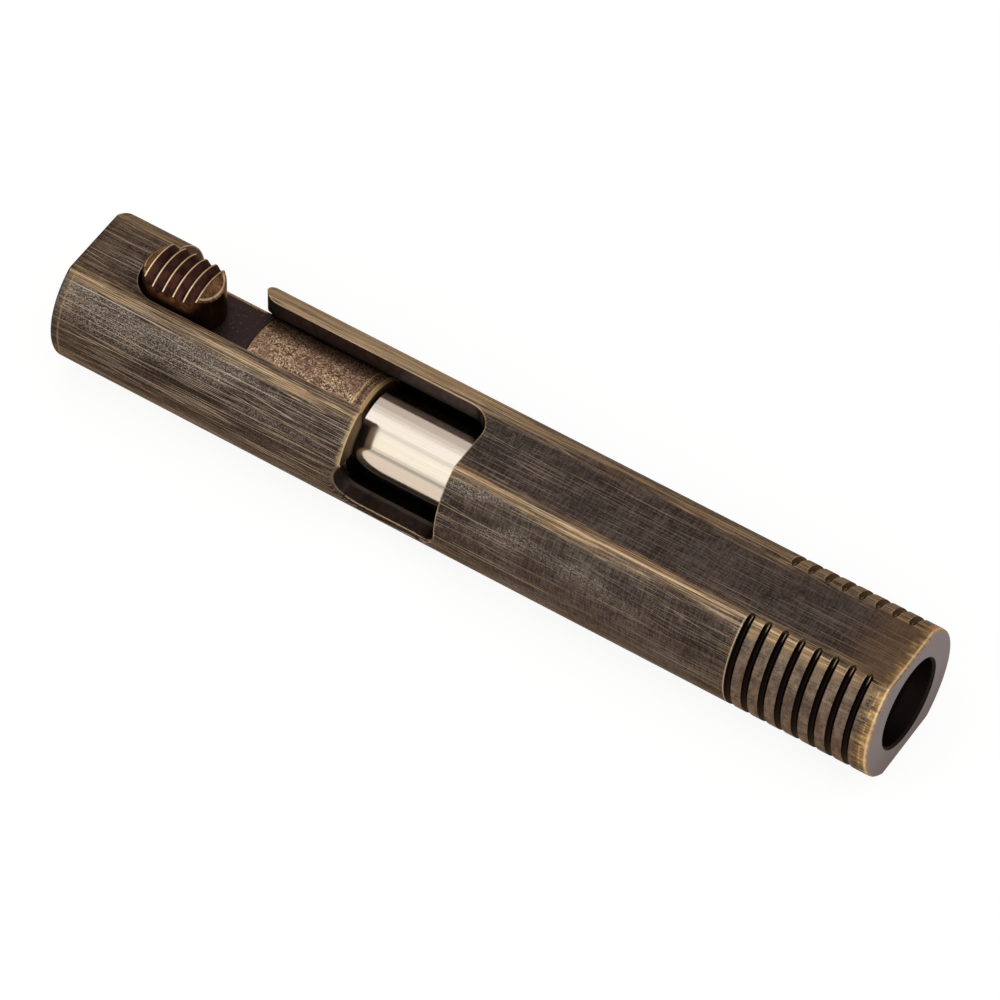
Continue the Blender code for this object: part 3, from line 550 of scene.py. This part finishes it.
def bolt_brass():
    """Bolt: granular golden brown with gold edges, and a darker milled flat."""
    s = Finish("bolt_brass", edge_tint=BRASS_TINT)
    grit = s.noise(5.2, detail=5.0, roughness=0.85)
    lines = s.noise((0.9, 3.5, 3.5), detail=4.0, roughness=0.7, shift=3.0)
    value = s.math("ADD", s.times(grit, 0.72), s.times(lines, 0.28))
    tone = s.mix(s.ramp(value, 0.460, 0.522), BOLT_DARK, BOLT_GOLDEN)
    tone = s.mix(s.ramp(grit, 0.550, 0.600), tone, BOLT_GRAIN)
    clouds = s.noise(0.42, detail=3.0, roughness=0.6, shift=4.0)
    tone = s.mix(s.times(s.ramp(clouds, 0.46, 0.62), 0.55), tone, BOLT_CLOUD)

    level = s.times(
        s.ramp(s.facing_z, 0.97, 0.995), s.peak(s.height, BOLT_FLAT_HEIGHT, 0.2),
        s.ramp(s.x, BOLT_FLAT_FRONT + 0.1, BOLT_FLAT_FRONT),
    )
    rear_end = s.ramp(s.facing_x, -0.9, -0.97)
    fleck = s.ramp(s.noise(3.2, detail=4.0, roughness=0.7, shift=2.0), 0.55, 0.72)
    milled = s.mix(s.times(fleck, 0.6), MILLED_DARK, MILLED_FLECK)
    tone = s.mix(s.most(level, rear_end), tone, milled)

    wander = s.times(s.math("SUBTRACT", s.noise(1.2, detail=3.0, shift=6.0), 0.5), 0.25)
    along = s.math("ADD", s.x, wander)
    turned = s.peak(along, BOLT_LINE - 0.16, 0.13)
    rub = s.ramp(s.noise(2.4, detail=3.0, shift=8.0), 0.30, 0.55, 0.35, 1.0)
    end = s.ramp(s.facing_x, 0.88, 0.95)
    chamfer = s.times(s.ramp(s.x, bolt_high.x - 0.36, bolt_high.x - 0.26), s.less(end))
    tone = s.mix(end, tone, BOLT_END)
    worn = s.most(s.times(s.most(s.edges(0.25), turned), rub), s.times(chamfer, 0.9))
    worn = s.times(worn, s.ramp(s.height, -1.5, 1.5), s.less(end))
    tone = s.mix(s.times(worn, 0.95), tone, BOLT_EDGE)
    low_end = s.times(end, s.ramp(s.height, 2.0, -1.0))
    tone = s.mix(low_end, tone, BOLT_END_LOW)
    rough = s.blend(level, s.ramp(grit, 0.3, 0.7, 0.44, 0.32), 0.42)
    normal = s.bump(grit, 0.05, s.blend(level, 0.7, 0.2), s.rounded(0.12))
    return s.finish(tone, rough, 0.95, normal)


def button_brass():
    """Thumb button: dark in its grooves and low on its sides, cream gold on its crests and rim."""
    s = Finish("button_brass", edge_tint=BRASS_TINT)
    clouds = s.noise(0.9, detail=4.0, roughness=0.65)
    grit = s.noise((2.0, 7.0, 7.0), detail=3.0, roughness=0.7, shift=3.0)
    tone = s.mix(s.ramp(clouds, 0.35, 0.65), BUTTON_DARK, BUTTON_BROWN)
    tone = s.mix(s.times(s.ramp(grit, 0.48, 0.66), 0.5), tone, BUTTON_GRAIN)

    steps = s.math("MULTIPLY", s.math("SUBTRACT", s.x, BUTTON_X), 1 / TOOTH_PITCH)
    from_crest = s.math("SUBTRACT", s.math("FRACT", s.math("ADD", steps, 10.0)), 0.5)
    from_crest = s.times(s.size(from_crest), TOOTH_PITCH)
    in_reach = s.ramp(s.size(s.math("SUBTRACT", s.x, BUTTON_X)), TEETH_REACH + 0.06, TEETH_REACH)
    upward = s.ramp(s.facing_z, 0.25, 0.45)
    flank = s.times(s.ramp(from_crest, 0.05, 0.10), in_reach, upward)
    crest = s.times(s.ramp(from_crest, 0.085, 0.045), in_reach, upward)
    groove = s.mix(s.ramp(clouds, 0.35, 0.65), TOOTH_BLACK, TOOTH_BROWN)
    tone = s.mix(flank, tone, groove)

    wall = s.ramp(s.size(s.facing_z), 0.35, 0.2)
    depth = s.math("SUBTRACT", button_high.z, s.z)
    low = s.ramp(depth, 1.2, 3.0)
    ahead = s.ramp(s.facing_x, -0.3, 0.6)
    shade = s.most(low, ahead)
    tone = s.mix(s.times(wall, s.ramp(shade, 0.0, 1.0, 0.1, 0.9)), tone, BUTTON_SHADE)

    rub = s.ramp(s.noise(1.8, detail=3.0, shift=6.0), 0.25, 0.5, 0.6, 1.0)
    past_round = s.math("SUBTRACT", s.size(s.math("SUBTRACT", s.x, BUTTON_X)), BUTTON_STRAIGHT)
    past_round = s.most(past_round, 0.0)
    squares = s.math("MULTIPLY_ADD", s.y, s.y, s.times(past_round, past_round))
    from_wall = s.math("SUBTRACT", BUTTON_RADIUS, s.math("SQRT", squares))
    rim = s.times(s.peak(from_wall, 0.24, 0.13), s.ramp(s.facing_z, 0.15, 0.35), s.less(flank))
    tone = s.mix(s.times(s.most(rim, crest), rub), tone, BUTTON_CREST)
    rough = s.blend(flank, 0.32, 0.42)
    normal = s.bump(grit, 0.02, 0.35, s.rounded(0.07))
    return s.finish(tone, rough, 0.95, normal)


def polished_steel():
    """Rod: mirror polish with faint hairlines along it and a warm film."""
    s = Finish("polished_steel")
    hair = s.noise((0.10, 9.0, 9.0), detail=4.0, roughness=0.6)
    film = s.noise(0.45, detail=3.0, shift=2.0)
    tone = s.mix(s.ramp(hair, 0.4, 0.7), STEEL_DARK, STEEL_LIGHT)
    stain = s.ramp(s.noise(1.1, detail=4.0, roughness=0.7, shift=12.0), 0.58, 0.75)
    tone = s.mix(s.times(stain, 0.25), tone, STEEL_STAIN)
    rough = s.math("ADD", s.ramp(hair, 0.35, 0.75, 0.11, 0.14), s.ramp(film, 0.4, 0.7, 0.0, 0.04))
    return s.finish(tone, rough, 1.0, s.bump(hair, 0.004, 0.2))


def plain_metal(name, dark, light, roughness, grain=(0.3, 6.0, 6.0)):
    """Small steel piece with a fine grain."""
    s = Finish(name)
    marks = s.noise(grain, detail=4.0, roughness=0.6)
    tone = s.mix(s.ramp(marks, 0.35, 0.65), dark, light)
    rough = s.ramp(marks, 0.3, 0.7, roughness, roughness + 0.12)
    return s.finish(tone, rough, 1.0, s.bump(marks, 0.01, 0.3, s.rounded(0.05)))


def black_rubber():
    s = Finish("black_rubber")
    grain = s.noise(7.0, detail=3.0)
    tone = s.mix(grain, (0.012, 0.012, 0.012), (0.03, 0.03, 0.029))
    return s.finish(tone, s.ramp(grain, 0.3, 0.7, 0.6, 0.8), 0.0, s.bump(grain, 0.02, 0.4))


# ---------------------------------------------------------------- pieces


def refined(node, body, material):
    """Copy of a CAD node with whole flat faces and smooth round ones, which stands for it."""
    shape = bmesh.new()
    shape.from_mesh(frame["nodes"][node].data)
    bmesh.ops.remove_doubles(shape, verts=shape.verts, dist=1e-7)
    bmesh.ops.dissolve_limit(
        shape, angle_limit=math.radians(0.2), verts=shape.verts, edges=shape.edges
    )
    mesh = bpy.data.meshes.new(node + "_skin")
    shape.to_mesh(mesh)
    shape.free()
    mesh.shade_smooth()
    mesh.set_sharp_from_angle(angle=math.radians(30))
    mesh.materials.append(material)
    piece = bpy.data.objects.new(node + "_skin", mesh)
    bpy.context.scene.collection.objects.link(piece)
    weigh = piece.modifiers.new("flat_faces_stay_flat", "WEIGHTED_NORMAL")
    weigh.keep_sharp = True
    weigh.weight = 80
    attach(piece, body)
    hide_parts(node)


BRASS = aged_brass()
SPRING_STEEL = plain_metal("spring_steel", (0.42, 0.41, 0.40), (0.62, 0.61, 0.59), 0.2)
BLACK_STEEL = plain_metal("black_steel", (0.03, 0.03, 0.032), (0.07, 0.07, 0.07), 0.4)

refined("receiver", "receiver_body", BRASS)
refined("rear_plug", "receiver_body", BRASS)
refined("plug_o_ring", "receiver_body", black_rubber())
refined("bolt", "bolt_body", bolt_brass())
refined("thumb_button", "bolt_body", button_brass())
refined("button_set_screw", "bolt_body", BLACK_STEEL)
refined("push_rod", "bolt_body", polished_steel())
refined("rod_pin", "bolt_body", SPRING_STEEL)
refined("detent_spring", "bolt_body", SPRING_STEEL)
refined("detent_ball", "detent_body", SPRING_STEEL)

# ---------------------------------------------------------------- camera

AZIMUTH = math.radians(31.908)
ELEVATION = math.radians(51.455)
ROLL = math.radians(1.345)
DISTANCE = 0.65287
ASIDE = 0.000665  # camera's aim off the bar's middle, along its own right and up
LIFT = -0.001023
LENS = 253.3


def make_camera():
    back = Vector((
        math.sin(AZIMUTH) * math.cos(ELEVATION),
        -math.cos(AZIMUTH) * math.cos(ELEVATION),
        math.sin(ELEVATION),
    ))
    level = Vector((0, 0, 1)).cross(back).normalized()
    upright = back.cross(level)
    right = math.cos(ROLL) * level + math.sin(ROLL) * upright
    up = math.cos(ROLL) * upright - math.sin(ROLL) * level
    middle = Vector(((REAR + MUZZLE) / 2 * MM, 0, AXIS_HEIGHT * MM))
    place = middle + ASIDE * right + LIFT * up + DISTANCE * back
    camera = bpy.data.objects.new("camera", bpy.data.cameras.new("camera"))
    camera.data.lens = LENS
    camera.data.sensor_width = 36.0
    camera.data.clip_start = 0.01
    bpy.context.scene.collection.objects.link(camera)
    axes = Matrix((right, up, back)).transposed().to_4x4()
    camera.matrix_world = Matrix.Translation(place) @ axes
    bpy.context.scene.camera = camera


make_camera()

# ---------------------------------------------------------------- studio

PANEL_DISTANCE = 0.6
PANEL_LENGTH = 1.4
WATTS = 2.33  # per square metre of a panel that looks white


def softbox(name, start, end, brightness, colour):
    """Light panel along X that spans start to end, in degrees from overhead towards -Y."""
    middle = math.radians((start + end) / 2)
    towards = Vector((0, -math.sin(middle), math.cos(middle)))
    lamp = bpy.data.lights.new(name, "AREA")
    lamp.shape = "RECTANGLE"
    lamp.size = PANEL_LENGTH
    lamp.size_y = 2 * PANEL_DISTANCE * math.tan(math.radians(end - start) / 2)
    lamp.energy = brightness * WATTS * lamp.size * lamp.size_y
    lamp.color = colour
    box = bpy.data.objects.new(name, lamp)
    box.location = towards * PANEL_DISTANCE
    box.rotation_euler = towards.to_track_quat("Z", "Y").to_euler()
    box.visible_camera = False
    bpy.context.scene.collection.objects.link(box)


softbox("softbox_back_low", -64, -24, 0.49, (1.0, 0.86, 0.79))
softbox("softbox_back_mid", -24, -13, 0.72, (1.0, 0.91, 0.885))
softbox("softbox_back_high", -13, -3, 0.90, (1.0, 0.95, 0.93))
softbox("softbox_top", -3, 26, 1.20, (1.0, 0.985, 0.99))
softbox("softbox_between", 26, 37, 0.90, (1.0, 0.97, 0.94))
softbox("softbox_front", 37, 79, 1.22, (1.0, 0.985, 0.895))
softbox("softbox_front_low", 79, 86, 0.75, (1.0, 0.96, 0.88))

ROOM = 0.28  # brightness of the room round the panels
ROOM_BEHIND = 0.07  # and beyond the bar's rear end
HORIZON = 0.45  # brightness of the wall near the horizon


def make_world():
    """Dim room with a white wall near the horizon, and white wherever the camera looks."""
    world = bpy.data.worlds.new("studio")
    world.use_nodes = True
    tree = world.node_tree
    background = tree.nodes["Background"]
    direction = tree.nodes.new("ShaderNodeTexCoord")
    parts = tree.nodes.new("ShaderNodeSeparateXYZ")
    tree.links.new(direction.outputs["Generated"], parts.inputs[0])

    def fade(value, *numbers):
        made = tree.nodes.new("ShaderNodeMapRange")
        made.interpolation_type = "SMOOTHSTEP"
        tree.links.new(value, made.inputs[0])
        for socket, number in zip(made.inputs[1:5], numbers):
            socket.default_value = number
        return made.outputs[0]

    def blend(share, first, second):
        made = tree.nodes.new("ShaderNodeMix")
        for socket, value in zip((made.inputs[0], made.inputs[2], made.inputs[3]),
                                 (share, first, second)):
            if isinstance(value, bpy.types.NodeSocket):
                tree.links.new(value, socket)
            else:
                socket.default_value = value
        return made.outputs[0]

    room = fade(parts.outputs["X"], -0.75, -0.25, ROOM_BEHIND, ROOM)
    light = blend(fade(parts.outputs["Z"], 0.05, 0.13, 0.0, 1.0), HORIZON, room)
    camera = tree.nodes.new("ShaderNodeLightPath").outputs["Is Camera Ray"]
    tree.links.new(blend(camera, light, 1.0), background.inputs["Strength"])
    background.inputs["Color"].default_value = (1, 1, 1, 1)
    bpy.context.scene.world = world


make_world()

FLOOR_REACH = 4.0
FLOOR_SHADE = 0.17  # share of the floor's look that takes light and shadow
FLOOR_WHITE = 1.07  # the rest, which makes the lit table up to white
TABLE_EDGE = 0.075  # how far from the bar the bright table reaches, as its polish shows it
TABLE_BRIGHT = 0.93  # brightness within the edge, in reflections
TABLE_DIM = 0.38  # and beyond it
TABLE_TINT = (1.0, 0.90, 0.81)
TABLE_SHARE = 0.75  # share of a reflection that shows this in place of the lit table
FLOOR_GAP = 0.00002  # keeps the floor clear of the bar's bottom flat


def make_floor():
    """White table that keeps a faint shadow. Its underside is clear."""
    shape = bmesh.new()
    bmesh.ops.create_grid(shape, x_segments=1, y_segments=1, size=FLOOR_REACH)
    mesh = bpy.data.meshes.new("floor")
    shape.to_mesh(mesh)
    shape.free()
    material = bpy.data.materials.new("white_table")
    material.use_nodes = True
    tree = material.node_tree
    tree.nodes.clear()

    def add(kind, **settings):
        made = tree.nodes.new(kind)
        for key, value in settings.items():
            setattr(made, key, value)
        return made

    def mixed(share, first, second):
        made = add("ShaderNodeMixShader")
        for socket, source in zip(made.inputs, (share, first, second)):
            tree.links.new(source, socket)
        return made.outputs[0]

    def scaled(value, factor):
        made = add("ShaderNodeMath", operation="MULTIPLY")
        tree.links.new(value, made.inputs[0])
        made.inputs[1].default_value = factor
        return made.outputs[0]

    lit = add("ShaderNodeBsdfDiffuse")
    lit.inputs["Color"].default_value = (0.98, 0.98, 0.98, 1)
    white = add("ShaderNodeEmission")
    white.inputs["Strength"].default_value = FLOOR_WHITE
    path = add("ShaderNodeLightPath")
    seen = mixed(scaled(path.outputs["Is Camera Ray"], 1 - FLOOR_SHADE),
                 lit.outputs[0], white.outputs[0])

    # In reflections the table is bright near the bar and dim beyond its edge
    place = add("ShaderNodeTexCoord")
    parts = add("ShaderNodeSeparateXYZ")
    tree.links.new(place.outputs["Object"], parts.inputs[0])
    away = add("ShaderNodeMath", operation="ABSOLUTE")
    tree.links.new(parts.outputs["Y"], away.inputs[0])
    dim = add("ShaderNodeMapRange", interpolation_type="SMOOTHSTEP")
    tree.links.new(away.outputs[0], dim.inputs[0])
    levels = (TABLE_EDGE * 0.7, TABLE_EDGE * 1.3, TABLE_BRIGHT, TABLE_DIM)
    for socket, number in zip(dim.inputs[1:5], levels):
        socket.default_value = number
    mirrored = add("ShaderNodeEmission")
    mirrored.inputs["Color"].default_value = (*TABLE_TINT, 1)
    tree.links.new(dim.outputs[0], mirrored.inputs["Strength"])
    top = mixed(scaled(path.outputs["Is Glossy Ray"], TABLE_SHARE), seen, mirrored.outputs[0])

    side = add("ShaderNodeNewGeometry")
    clear = add("ShaderNodeBsdfTransparent")
    output = add("ShaderNodeOutputMaterial")
    surface = mixed(side.outputs["Backfacing"], top, clear.outputs[0])
    tree.links.new(surface, output.inputs["Surface"])
    mesh.materials.append(material)
    floor = bpy.data.objects.new("floor", mesh)
    floor.location.z = cad_low.z - FLOOR_GAP
    bpy.context.scene.collection.objects.link(floor)


make_floor()

bpy.context.scene.view_settings.view_transform = "Standard"

bpy.context.view_layer.update()
